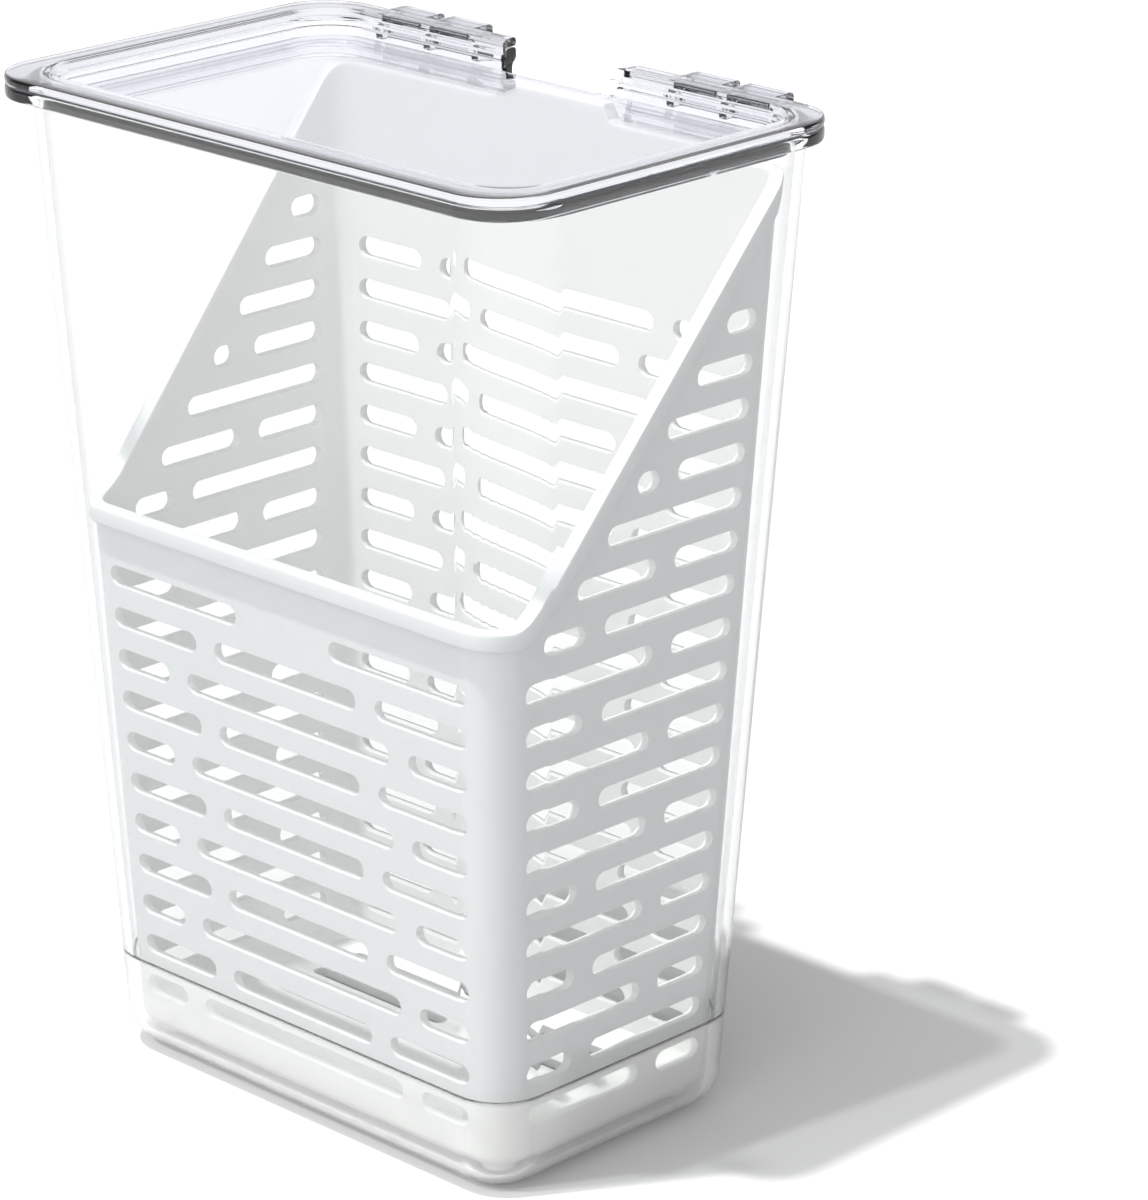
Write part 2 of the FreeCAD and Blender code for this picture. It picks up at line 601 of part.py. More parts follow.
def basket_shell():
    """The tapered wall with its lip, cut along the rim line and hollowed."""
    reach = "sizes.foot_width"
    high = SHOULDER
    above = rim_line("0", "0") + [("100", f"{high} + 50"), ("-100", f"{high} + 50")]
    removed = side_extrusion("above_the_rim", above, reach)
    # Moved back by this much as it goes down, the rim line stays lip_height from itself.
    back = f"sizes.lip_height * tan(atan({SLOPE_RISE} / {SLOPE_RUN}) / 2)"
    below = rim_line(back, "sizes.lip_height") + [("100", "-10"), ("-100", "-10")]
    under = side_extrusion("under_the_lip", below, reach)

    bevel = ("Chamfer", "sizes.basket_bevel")
    block = tapered_body("wall_block", BASKET_BOTTOM, f"{high} + 1", basket_outline, bevel)
    wall = boolean("Cut", "cut_wall", block, removed)

    def lip_outline(height):
        return grown(basket_outline(height), "sizes.lip")

    lip_block = tapered_body("lip_block", "sizes.front_rim - 3 * sizes.lip_height", f"{high} + 1", lip_outline)
    lip = boolean("Cut", "lip_under_rim", lip_block, removed)
    lip = boolean("Cut", "lip_band", lip, under)

    def inner_outline(height):
        return grown(basket_outline(height), "-sizes.basket_wall")

    floor = f"{BASKET_BOTTOM} + sizes.basket_wall"
    # Less by this share of the wall, the inner bevel keeps the wall's thickness.
    inner_bevel = ("Chamfer", "sizes.basket_bevel - 0.586 * sizes.basket_wall")
    hollow = tapered_body("basket_space", floor, f"{high} + 5", inner_outline, inner_bevel)
    return boolean("Cut", "basket_shell", fuse("lipped_wall", [wall, lip]), hollow)


def basket_tongue():
    """The low tongue in the middle of the back, with a round each side."""
    half = "sizes.tongue_width / 2"
    low = size(f"{SHOULDER} - sizes.lip_height")
    shoulder, top = size(SHOULDER), size(TONGUE_TOP)
    radius = size("sizes.tongue_round")
    edge = size(half)
    turned = FreeCAD.Rotation(Vector(1, 0, 0), Vector(0, 0, 1), Vector(0, -1, 0), "ZXY")
    sketch = free_sketch("tongue_profile", turned, "y", f"{BACK_WALL} + sizes.lip")
    foot = edge + radius
    corners = [
        Vector(-foot, low),
        Vector(foot, low),
        Vector(foot, shoulder),
        Vector(edge, shoulder + radius),
        Vector(edge, top),
        Vector(-edge, top),
        Vector(-edge, shoulder + radius),
        Vector(-foot, shoulder),
    ]
    sides = [(0, 1), (1, 2), (3, 4), (4, 5), (5, 6), (7, 0)]
    for start, end in sides:
        sketch.addGeometry(Part.LineSegment(corners[start], corners[end]))
    right_circle = Part.Circle(Vector(foot, shoulder + radius), UP, radius)
    left_circle = Part.Circle(Vector(-foot, shoulder + radius), UP, radius)
    sketch.addGeometry(Part.ArcOfCircle(right_circle, math.pi, 1.5 * math.pi))
    sketch.addGeometry(Part.ArcOfCircle(left_circle, 1.5 * math.pi, 2 * math.pi))
    bottom, right, right_side, tip, left_side, left, right_round, left_round = range(8)
    joins = [
        (bottom, 2, right, 1),
        (right, 2, right_round, 2),
        (right_side, 2, tip, 1),
        (tip, 2, left_side, 1),
        (left_round, 1, left, 1),
        (left, 2, bottom, 1),
    ]
    for join in joins:
        sketch.addConstraint(Sketcher.Constraint("Coincident", *join))
    sketch.addConstraint(Sketcher.Constraint("Tangent", right_round, 1, right_side, 1))
    sketch.addConstraint(Sketcher.Constraint("Tangent", left_side, 2, left_round, 2))
    for line in (right, right_side, left_side, left):
        sketch.addConstraint(Sketcher.Constraint("Vertical", line))
    sketch.addConstraint(Sketcher.Constraint("Symmetric", bottom, 1, bottom, 2, -2))
    sketch.addConstraint(Sketcher.Constraint("Symmetric", tip, 1, tip, 2, -2))
    sketch.addConstraint(Sketcher.Constraint("Equal", left_round, right_round))
    sketch.addConstraint(Sketcher.Constraint("Vertical", right_round, 3, right_round, 2))
    sketch.addConstraint(Sketcher.Constraint("Horizontal", right, 2, left, 1))
    dimension(sketch, "round", "sizes.tongue_round", "Radius", right_round)
    dimension(sketch, "width", "sizes.tongue_width", "DistanceX", tip, 2, tip, 1)
    dimension(sketch, "top", TONGUE_TOP, "DistanceY", -1, 1, tip, 1)
    dimension(sketch, "shoulder", SHOULDER, "DistanceY", -1, 1, right, 2)
    dimension(sketch, "low", f"{SHOULDER} - sizes.lip_height", "DistanceY", -1, 1, bottom, 1)
    tongue = doc.addObject("Part::Extrusion", "tongue")
    tongue.Base = sketch
    tongue.DirMode = "Custom"
    tongue.Dir = Vector(0, -1, 0)
    tongue.Solid = True
    tongue.setExpression("LengthFwd", "sizes.basket_wall + sizes.lip")
    return tongue


def basket_feet():
    """Four low round feet under the corners of the basket."""
    half, front, back, corner = basket_outline(BASKET_BOTTOM)
    inset = "(sizes.basket_bevel + sizes.feet_radius)"
    feet = []
    for side in (1, -1):
        for name, place in (("front", f"{inset} - ({front})"), ("back", f"({back}) - {inset}")):
            foot = doc.addObject("Part::Cylinder", f"{name}_foot_{'right' if side > 0 else 'left'}")
            foot.setExpression("Radius", "sizes.feet_radius")
            foot.setExpression("Height", "sizes.basket_feet + sizes.basket_wall / 2")
            foot.setExpression("Placement.Base.x", f"{side} * (({half}) - {inset})")
            foot.setExpression("Placement.Base.y", place)
            foot.setExpression("Placement.Base.z", f"{BASKET_BOTTOM} - sizes.basket_feet")
            feet.append(foot)
    return feet


def slot_bar(start, end, top, height):
    """The face of a level slot along X, its half-round ends made of a few straight sides."""
    radius = height / 2
    sides = int(size("sizes.slot_end_sides"))
    points = []
    for middle, turn in ((end - radius, -math.pi / 2), (start + radius, math.pi / 2)):
        for side in range(sides + 1):
            angle = turn + math.pi * side / sides
            points.append(Vector(middle + radius * math.cos(angle), 0, top - radius + radius * math.sin(angle)))
    return Part.Face(Part.makePolygon(points + points[:1]))


def row_spans(start, end, breaks):
    """The stretches of a row between its bridges, leaving out the very short ones."""
    spans = []
    shortest = 1.3 * size("sizes.slot_height")
    for low, high in breaks:
        spans.append((start, min(low, end)))
        start = max(start, high)
    spans.append((start, end))
    return [(low, high) for low, high in spans if high - low > shortest]


def slot_tops():
    """The top of each row of slots, from the lowest up."""
    height, pitch = size("sizes.slot_height"), size("sizes.slot_pitch")
    lowest = size(f"{BASKET_BOTTOM} + sizes.lowest_row") + height
    count = int((size(f"{SHOULDER} - sizes.top_margin") - lowest) // pitch) + 1
    return [lowest + row * pitch for row in range(count)]


def basket_slots():
    """Cutters for every slot: rows on four walls with staggered bridges, and the drain."""
    height, pitch = size("sizes.slot_height"), size("sizes.slot_pitch")
    margin, bridge = size("sizes.slot_margin"), size("sizes.bridge")
    name_gap = size("sizes.name_gap") / 2
    front_limit = size("sizes.front_rim - sizes.front_margin")
    back_limit = size(f"{SHOULDER} - sizes.back_margin")
    reach = size("sizes.foot_width")
    cutters = []
    for row, top in enumerate(slot_tops()):
        middle = top - height / 2
        half, front, back, corner = (size(side) for side in basket_outline(f"{middle}"))
        even = row % 2 == 0
        slot = size("sizes.wide_slot" if even else "sizes.narrow_slot") / 2
        level_breaks = [(-slot - bridge, -slot), (slot, slot + bridge)]
        start, end = margin - half, half - margin
        if top <= back_limit:
            for low, high in row_spans(start, end, level_breaks):
                face = slot_bar(low, high, top, height)
                cutters.append(face.extrude(Vector(0, reach, 0)))
        if top <= front_limit:
            highest = top + pitch > front_limit
            breaks = [(-name_gap, name_gap)] if highest else level_breaks
            for low, high in row_spans(start, end, breaks):
                face = slot_bar(low, high, top, height)
                cutters.append(face.extrude(Vector(0, -reach, 0)))
        slope = size(SLOPE_START) + (middle - size("sizes.front_rim")) * size(f"{SLOPE_RUN} / {SLOPE_RISE}")
        start = max(margin - front, slope + size("sizes.slope_margin"))
        place = size("sizes.side_even" if even else "sizes.side_odd")
        breaks = [(place - bridge / 2, place + bridge / 2)]
        for low, high in row_spans(start, back - margin, breaks):
            face = slot_bar(low, high, top, height)
            face.rotate(Vector(), UP, 90)
            both = face.extrude(Vector(2 * reach, 0, 0))
            both.translate(Vector(-reach, 0, 0))
            cutters.append(both)
    cutters += drain_slots()
    feature = doc.addObject("Part::Feature", "slots")
    feature.Shape = Part.makeCompound(cutters)
    return feature


def drain_slots():
    """Two columns of drain slots across the basket's floor."""
    length, width = size("sizes.drain_length"), size("sizes.drain_width")
    pitch = size("sizes.drain_pitch")
    gap = size("sizes.bridge")
    low = size(BASKET_BOTTOM) - 1
    slots = []
    for step in (-2, -1, 0, 1, 2):
        for start in (gap / 2, -gap / 2 - length):
            face = slot_bar(start, start + length, width / 2, width)
            face.rotate(Vector(), Vector(1, 0, 0), 90)
            face.translate(Vector(0, step * pitch, low))
            slots.append(face.extrude(Vector(0, 0, size("sizes.basket_wall") + 2)))
    return slots


def make_basket():
    shell = basket_shell()
    whole = fuse("basket_form", [shell, basket_tongue()] + basket_feet())
    doc.recompute()
    basket = boolean("Cut", "basket", whole, basket_slots())
    basket.Label = "basket"
    return basket


def check(parts):
    """Stop when any object failed or a piece isn't one valid solid."""
    for feature in doc.Objects:
        if "Invalid" in feature.State or "Error" in feature.State:
            raise RuntimeError(f"{feature.Name} failed: {feature.State}")
    for part in parts:
        shape = part.Shape
        if shape.isNull() or not shape.isValid() or len(shape.Solids) != 1:
            raise RuntimeError(f"{part.Label} isn't one valid solid")


pieces = [make_container(), make_lid(), make_basket()]
doc.recompute()
check(pieces)
os.makedirs("parts", exist_ok=True)
for piece in pieces:
    piece.Shape.exportStep(f"parts/{piece.Label}.step")
    box = piece.Shape.BoundBox
    print(f"{piece.Label}: {piece.Shape.Volume / 1000:.1f} cm3, {box.XLength:.1f} x {box.YLength:.1f}", end=" ")
    print(f"x {box.ZLength:.1f} mm, z {box.ZMin:.2f} to {box.ZMax:.2f}")
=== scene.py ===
import math

import bmesh
import bpy
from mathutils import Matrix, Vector


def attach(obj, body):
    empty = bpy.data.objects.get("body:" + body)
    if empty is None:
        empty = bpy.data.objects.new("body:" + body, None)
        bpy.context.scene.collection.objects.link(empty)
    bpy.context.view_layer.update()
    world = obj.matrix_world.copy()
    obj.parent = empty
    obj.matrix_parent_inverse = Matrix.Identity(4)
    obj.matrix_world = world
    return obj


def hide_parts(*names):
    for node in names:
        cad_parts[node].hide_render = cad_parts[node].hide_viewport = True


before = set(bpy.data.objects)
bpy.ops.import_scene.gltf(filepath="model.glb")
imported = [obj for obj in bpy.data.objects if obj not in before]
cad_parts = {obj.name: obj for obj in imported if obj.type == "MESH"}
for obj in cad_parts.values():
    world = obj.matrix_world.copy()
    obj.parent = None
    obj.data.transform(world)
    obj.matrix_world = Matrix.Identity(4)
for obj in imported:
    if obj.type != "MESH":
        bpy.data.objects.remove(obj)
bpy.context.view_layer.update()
print("frame loaded:", sorted(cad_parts))

# all sizes are in millimetres, in the frame of the CAD: centre of the foot at 0, +Z up, front at -Y


def mm(*values):
    return Vector([value / 1000 for value in values])


def linear(hexColour):
    # sRGB hex to the linear colour that a shader takes
    channels = [int(hexColour[i:i + 2], 16) / 255 for i in (1, 3, 5)]
    return [c / 12.92 if c <= 0.04045 else ((c + 0.055) / 1.055) ** 2.4 for c in channels] + [1.0]


def addNode(tree, kind, settings=None, inputs=None):
    # inputs: a socket's name or number, and a value or another node's output socket
    node = tree.nodes.new(kind)
    for name, value in (settings or {}).items():
        setattr(node, name, value)
    for name, value in (inputs or {}).items():
        if isinstance(value, bpy.types.NodeSocket):
            tree.links.new(value, node.inputs[name])
        else:
            node.inputs[name].default_value = value
    return node


def newMaterial(name):
    material = bpy.data.materials.new(name)
    material.use_nodes = True
    material.node_tree.nodes.clear()
    return material, material.node_tree


def objectCoordinates(tree):
    return addNode(tree, "ShaderNodeTexCoord").outputs["Object"]


def mouldedSurface(tree, coordinates, waveMm, strength):
    # injection moulded plastic is never quite flat: a soft swell, waveMm from crest to crest
    waves = {"Vector": coordinates, "Scale": 1000 / waveMm, "Detail": 1.0}
    swell = addNode(tree, "ShaderNodeTexNoise", inputs=waves)
    bump = {"Strength": strength, "Distance": 0.0004, "Height": swell.outputs["Fac"]}
    return addNode(tree, "ShaderNodeBump", inputs=bump).outputs["Normal"]


def clearPlastic(name, look):
    # SAN, injection moulded: glass-like; its colour turns darker where it is seen edge on, which is
    # painted shade that draws the dark lines along clear edges
    material, tree = newMaterial(name)
    coordinates = objectCoordinates(tree)
    normal = mouldedSurface(tree, coordinates, look["waveMm"], look["waveStrength"])
    facing = addNode(tree, "ShaderNodeLayerWeight", inputs={"Blend": 0.35}).outputs["Facing"]
    edge = addNode(tree, "ShaderNodeMath", {"operation": "POWER"}, {0: facing, 1: 1.6}).outputs[0]
    # painted shade: the tint goes over to the edge-on colour as the surface turns away from the eye
    colour = addNode(tree, "ShaderNodeMix", {"data_type": "RGBA"}, {
        0: edge,
        6: linear(look["tint"]),
        7: linear(look["paintedEdgeShade"]),
    })
    plastic = addNode(tree, "ShaderNodeBsdfPrincipled", inputs={
        "Base Color": colour.outputs[2],
        "Roughness": look["roughness"],
        "IOR": 1.5,
        "Transmission Weight": 1.0 - look["whiteness"],
        "Normal": normal,
    })
    # light passes straight through on its way to other surfaces, and loses a little
    seeThrough = addNode(tree, "ShaderNodeBsdfTransparent", inputs={"Color": linear(look["shadow"])})
    lightPath = addNode(tree, "ShaderNodeLightPath")
    lighting = addNode(tree, "ShaderNodeMath", {"operation": "MAXIMUM"}, {
        0: lightPath.outputs["Is Shadow Ray"],
        1: lightPath.outputs["Is Diffuse Ray"],
    })
    passing = addNode(tree, "ShaderNodeMixShader", inputs={
        0: lighting.outputs[0],
        1: plastic.outputs[0],
        2: seeThrough.outputs[0],
    })
    addNode(tree, "ShaderNodeOutputMaterial", inputs={"Surface": passing.outputs[0]})
    return material


def whitePlastic(name):
    # polypropylene with white pigment, moulded against fine spark-eroded steel: satin, with a soft sheen
    material, tree = newMaterial(name)
    coordinates = objectCoordinates(tree)
    # faint clouds, about 25 mm across, in the colour and in the sheen
    clouds = {"Vector": coordinates, "Scale": 40.0, "Detail": 2.0}
    cloud = addNode(tree, "ShaderNodeTexNoise", inputs=clouds)
    colour = addNode(tree, "ShaderNodeMix", {"data_type": "RGBA"}, {
        0: cloud.outputs["Fac"],
        6: linear("#F4F5F3"),
        7: linear("#F9FAF8"),
    })
    # grain of 0.15 mm is drawn as 0.6 mm so that it shows
    grains = {"Vector": coordinates, "Scale": 1000 / 0.6, "Detail": 2.0}
    grain = addNode(tree, "ShaderNodeTexNoise", inputs=grains)
    bumpInputs = {"Strength": 0.05, "Distance": 0.0001, "Height": grain.outputs["Fac"]}
    bump = addNode(tree, "ShaderNodeBump", inputs=bumpInputs)
    rough = addNode(tree, "ShaderNodeMapRange", inputs={
        "Value": cloud.outputs["Fac"],
        "To Min": 0.3,
        "To Max": 0.42,
    })
    plastic = addNode(tree, "ShaderNodeBsdfPrincipled", inputs={
        "Base Color": colour.outputs[2],
        "Roughness": rough.outputs[0],
        "IOR": 1.49,
        "Subsurface Weight": 0.15,
        "Subsurface Radius": (1.0, 1.0, 1.0),
        "Subsurface Scale": 0.002,
        "Normal": bump.outputs["Normal"],
    })
    addNode(tree, "ShaderNodeOutputMaterial", inputs={"Surface": plastic.outputs[0]})
    return material


plastics = {
    "shell": {  # polished: the canister above its band
        "tint": "#FDFEFE",
        "paintedEdgeShade": "#62666F",  # painted shade, where it is seen edge on
        "shadow": "#D5D6D7",  # light that passes one face
        "roughness": 0.0,
        "whiteness": 0.0,
        "waveMm": 60,
        "waveStrength": 0.04,
    },
    "band": {  # blasted mould: the frosted foot of the canister
        "tint": "#FCFDFC",
        # painted shade, faint, where the frosted band is seen edge on
        "paintedEdgeShade": "#E8EAEB",
        "shadow": "#CFCFCF",
        "roughness": 0.13,
        "whiteness": 0.12,
        "waveMm": 60,
        "waveStrength": 0.04,
    },
    "lid": {  # polished, with a faint lavender in its edges, darkened there by painted shade where it is seen edge on
        "tint": "#F9FAFE",
        # painted shade where the lid is seen edge on, in its lavender
        "paintedEdgeShade": "#AEB1C4",
        "shadow": "#D9D9D9",
        "roughness": 0.0,
        "whiteness": 0.0,
        "waveMm": 60,
        "waveStrength": 0.04,
    },
}
clearShell = clearPlastic("polishedClearSan", plastics["shell"])
frostedShell = clearPlastic("frostedSan", plastics["band"])
clearLid = clearPlastic("polishedLidSan", plastics["lid"])
basketPlastic = whitePlastic("satinWhitePolypropylene")
print("materials made")


def addObject(name, mesh, materials):
    item = bpy.data.objects.new(name, mesh)
    bpy.context.scene.collection.objects.link(item)
    for material in materials:
        item.data.materials.append(material)
    return item


sharpEdge = math.radians(32)  # faces that meet at less than this are shaded as one


def finishMesh(work, name, materials):
    # doubles merged and faces turned outwards, then shaded smooth but for sharp edges
    bmesh.ops.remove_doubles(work, verts=work.verts, dist=1e-6)
    bmesh.ops.recalc_face_normals(work, faces=work.faces)
    mesh = bpy.data.meshes.new(name)
    work.to_mesh(mesh)
    work.free()
    mesh.shade_smooth()
    mesh.set_sharp_from_angle(angle=sharpEdge)
    return addObject(name, mesh, materials)


def between(pair, share):
    return pair[0] + (pair[1] - pair[0]) * share


def shrunk(outline, inset):
    half, front, back, corner = outline
    return (half - inset, front - inset, back - inset, max(corner - inset, 0.4))


def columnsOf(cornerSteps, sideSteps, backPlaces=()):
    # the places round an outline: straight ones by side and share, corner ones by quadrant and angle
    columns = []
    straights = [("front", sideSteps), ("right", sideSteps), ("back", sideSteps), ("left", sideSteps)]
    quadrants = [(1, -1, -90), (1, 1, 0), (-1, 1, 90), (-1, -1, 180)]
    for (side, steps), (signX, signY, start) in zip(straights, quadrants):
        if side == "back" and backPlaces:
            columns += [("at", -place, None) for place in backPlaces]
        else:
            columns += [(side, -1 + 2 * step / steps, None) for step in range(1, steps)]
        for step in range(cornerSteps + 1):
            columns.append(("corner", (signX, signY), math.radians(start + 90 * step / cornerSteps)))
    return columns


def placeOn(column, outline):
    # where a column meets an outline, in plan
    half, front, back, corner = outline
    kind, where, angle = column
    if kind == "corner":
        middleX = where[0] * (half - corner)
        middleY = back - corner if where[1] > 0 else corner - front
        return middleX + corner * math.cos(angle), middleY + corner * math.sin(angle)
    if kind == "front":
        return where * (half - corner), -front
    if kind == "right":
        return half, between((corner - front, back - corner), (where + 1) / 2)
    if kind == "back":
        return -where * (half - corner), back
    if kind == "left":
        return -half, between((back - corner, corner - front), (where + 1) / 2)
    return where, back


def shellFromRings(name, rings, materials, materialOf=None):
    # rings of points joined by quads; the first and last are closed by a face
    work = bmesh.new()
    loops = [[work.verts.new(point) for point in ring] for ring in rings]
    count = len(loops[0])
    for number, (low, high) in enumerate(zip(loops, loops[1:])):
        for i in range(count):
            j = (i + 1) % count
            face = work.faces.new((low[i], low[j], high[j], high[i]))
            if materialOf:
                face.material_index = materialOf(number)
    for end, number in ((loops[0], 0), (loops[-1], len(rings) - 2)):
        face = work.faces.new(end)
        if materialOf:
            face.material_index = materialOf(number)
    return finishMesh(work, name, materials)


def applied(item):
    # the modifiers of a piece turned into plain mesh
    bpy.context.view_layer.update()
    evaluated = item.evaluated_get(bpy.context.evaluated_depsgraph_get())
    mesh = bpy.data.meshes.new_from_object(evaluated)
    item.modifiers.clear()
    item.data = mesh
    return item


def cutWith(item, cutter):
    modifier = item.modifiers.new("cut", "BOOLEAN")
    modifier.operation = "DIFFERENCE"
    modifier.solver = "MANIFOLD"
    modifier.object = cutter
    applied(item)
    bpy.data.objects.remove(cutter)
    item.data.shade_smooth()
    item.data.set_sharp_from_angle(angle=sharpEdge)
    return item


def softEdges(item, widthMm, angle=50):
    modifier = item.modifiers.new("edges", "BEVEL")
    modifier.width = widthMm / 1000
    modifier.segments = 2
    modifier.limit_method = "ANGLE"
    modifier.angle_limit = math.radians(angle)
    modifier.harden_normals = True
    return applied(item)


def evenShading(item):
    # normals that follow the wide faces, so that clear walls don't bend what is seen through them
    item.modifiers.new("shading", "WEIGHTED_NORMAL").keep_sharp = True
    return applied(item)


def extruded(name, outline, start, end, axis, materials):
    # a closed outline of (across, up) points, pushed along X or Y or Z from start to end
    work = bmesh.new()
    turn = {
        "X": lambda a, b, d: mm(d, a, b),
        "Y": lambda a, b, d: mm(a, d, b),
        "Z": lambda a, b, d: mm(a, b, d),
    }[axis]
    near = [work.verts.new(turn(a, b, start)) for a, b in outline]
    far = [work.verts.new(turn(a, b, end)) for a, b in outline]
    work.faces.new(near)
    work.faces.new(far)
    for i in range(len(outline)):
        j = (i + 1) % len(outline)
        work.faces.new((near[i], near[j], far[j], far[i]))
    return finishMesh(work, name, materials)


def arc(centre, radius, start, end, steps):
    points = []
    for step in range(steps + 1):
        angle = math.radians(start + (end - start) * step / steps)
        points.append((centre[0] + radius * math.cos(angle), centre[1] + radius * math.sin(angle)))
    return points


def joined(name, items):
    work = bmesh.new()
    for item in items:
        work.from_mesh(item.data)
        bpy.data.objects.remove(item)
    mesh = bpy.data.meshes.new(name)
    work.to_mesh(mesh)
    work.free()
    return mesh


# container

container = {
    "halfWidth": (65.0, 80.0),  # at the table and at the rim
    "front": (39.0, 49.5),
    "back": (39.0, 51.5),
    "corner": (12.2, 17.0),
    "height": 231.5,
    "wall": 2.2,
    "floor": 2.6,
    "bottomRound": 9.0,
    "ledge": 1.2,
    "fillLine": 23.0,
    "rimHeight": 3.0,
    "rim": (82.2, 53.5, 52.5, 14.0),  # half width, front, back and corner of the flange
    "rimRound": 0.7,
    "rimBend": 0.2,  # how far the middle of that round stays from the sharp edge
    "notchWidth": 39.0,
    "notchDepth": 12.5,
    "notchRound": 7.0,
    "notchCut": (30.0, 70.0),  # where its cutter starts and ends along Y
}


def wallOutline(height, inset=0.0):
    share = height / container["height"]
    names = ("halfWidth", "front", "back", "corner")
    return shrunk(tuple(between(container[name], share) for name in names), inset)


def ringAt(columns, outline, height):
    return [mm(*placeOn(column, outline), height) for column in columns]


def containerStations():
    # outline and height of each ring, from the middle of the foot up, over the rim and down inside
    wall, top = container["wall"], container["height"]
    radius = container["bottomRound"]
    stations = []
    for step in range(9):
        angle = math.radians(90 * step / 8)
        height = radius * (1 - math.cos(angle))
        stations.append((wallOutline(height, radius * (1 - math.sin(angle))), height))
    thick = wall + container["ledge"]
    stations.append((wallOutline(container["fillLine"]), container["fillLine"]))
    flangeLow = top - container["rimHeight"]
    stations.append((wallOutline(flangeLow - 1.2), flangeLow - 1.2))
    stations.append((wallOutline(flangeLow - 0.4, -0.3), flangeLow - 0.35))
    stations.append((wallOutline(flangeLow, -1.0), flangeLow))
    rim, round_, bend = container["rim"], container["rimRound"], container["rimBend"]
    stations.append((shrunk(rim, round_), flangeLow))
    stations.append((shrunk(rim, bend), flangeLow + bend))
    stations.append((rim, flangeLow + round_))
    stations.append((rim, top - round_))
    stations.append((shrunk(rim, bend), top - bend))
    stations.append((shrunk(rim, round_), top))
    stations.append((wallOutline(top, wall - 0.5), top))
    stations.append((wallOutline(top - 0.15, wall - 0.15), top - 0.15))
    stations.append((wallOutline(top - 0.5, wall), top - 0.5))
    line = container["fillLine"]
    stations.append((wallOutline(line + 0.5, wall), line + 0.5))
    stations.append((wallOutline(line, wall + 0.3), line + 0.1))
    stations.append((wallOutline(line, thick - 0.3), line - 0.1))
    stations.append((wallOutline(line - 0.6, thick), line - 0.7))
    innerRound = radius - thick
    floor = container["floor"]
    for step in range(7):
        angle = math.radians(90 - 90 * step / 6)
        height = floor + innerRound * (1 - math.cos(angle))
        stations.append((wallOutline(height, thick + innerRound * (1 - math.sin(angle))), height))
    return stations


def buildContainer():
    columns = columnsOf(12, 2)
    stations = containerStations()
    rings = [ringAt(columns, outline, height) for outline, height in stations]
    heights = [height for outline, height in stations]
    line = container["fillLine"] + 0.2

    def materialOf(number):
        return 1 if heights[number] < line and heights[number + 1] < line + 0.3 else 0

    shell = shellFromRings("containerShell", rings, [clearShell, frostedShell], materialOf)
    half, round_ = container["notchWidth"] / 2, container["notchRound"]
    low = container["height"] - container["notchDepth"]
    outline = arc((round_ - half, low + round_), round_, 180, 270, 8)
    outline += arc((half - round_, low + round_), round_, 270, 360, 8)
    outline += [(half, low + 2 * half), (-half, low + 2 * half)]
    cutter = extruded("notchCutter", outline, *container["notchCut"], "Y", [clearShell])
    return evenShading(cutWith(shell, cutter))


hinge = {
    "y": 56.25,
    "z": 228.9,
    "start": 29.5,
    "length": 34.0,
    "lug": 2.4,
    "lugRadius": 2.6,
    "pinRadius": 1.8,
    "clearance": 0.15,
    "clipWall": 1.4,
    "sideGap": 0.4,
    "mouth": 110.0,
    "overlap": 0.4,  # into the flange that carries the lugs or the arms
    "pinInset": 1.2,
    "lugEdge": 0.35,
    "armGap": 0.3,  # between the arm and the bore of the ring below it
    "armRound": 0.9,
    "armEdge": 0.25,
    "clipEdge": 0.2,
}


def lugStarts():
    last = hinge["start"] + hinge["length"] - hinge["lug"]
    return [hinge["start"], (hinge["start"] + last) / 2, last]


def buildLugs():
    # three lugs and the pin through them behind the rim, the same each side
    y, z, radius = hinge["y"], hinge["z"], hinge["lugRadius"]
    near = container["rim"][2] - hinge["overlap"]
    outline = [(near, z - radius)] + arc((y, z), radius, -90, 90, 12) + [(near, z + radius - 0.02)]
    pin = arc((y, z), hinge["pinRadius"], 0, 345, 23)
    items = []
    for side in (1, -1):
        for start in lugStarts():
            ends = sorted((side * start, side * (start + hinge["lug"])))
            items.append(softEdges(extruded("lug", outline, *ends, "X", []), hinge["lugEdge"]))
        first = hinge["start"] + hinge["pinInset"]
        last = hinge["start"] + hinge["length"] - hinge["pinInset"]
        items.append(extruded("pin", pin, *sorted((side * first, side * last)), "X", []))
    return addObject("hingePins", joined("hingePins", items), [clearShell])


# lid

lid = {
    "underside": 231.8,
    "top": 233.8,
    "recessDepth": 6.0,
    "stepDepth": 2.5,
    "panel": 1.8,
    "clearance": 0.7,
    "wall": 1.8,
    "stepWidth": 1.5,
    "notchFrom": 44.5,
    "notchRound": 7.0,
    "notchCut": (200.0, 250.0),  # where its cutter starts and ends along Z
}


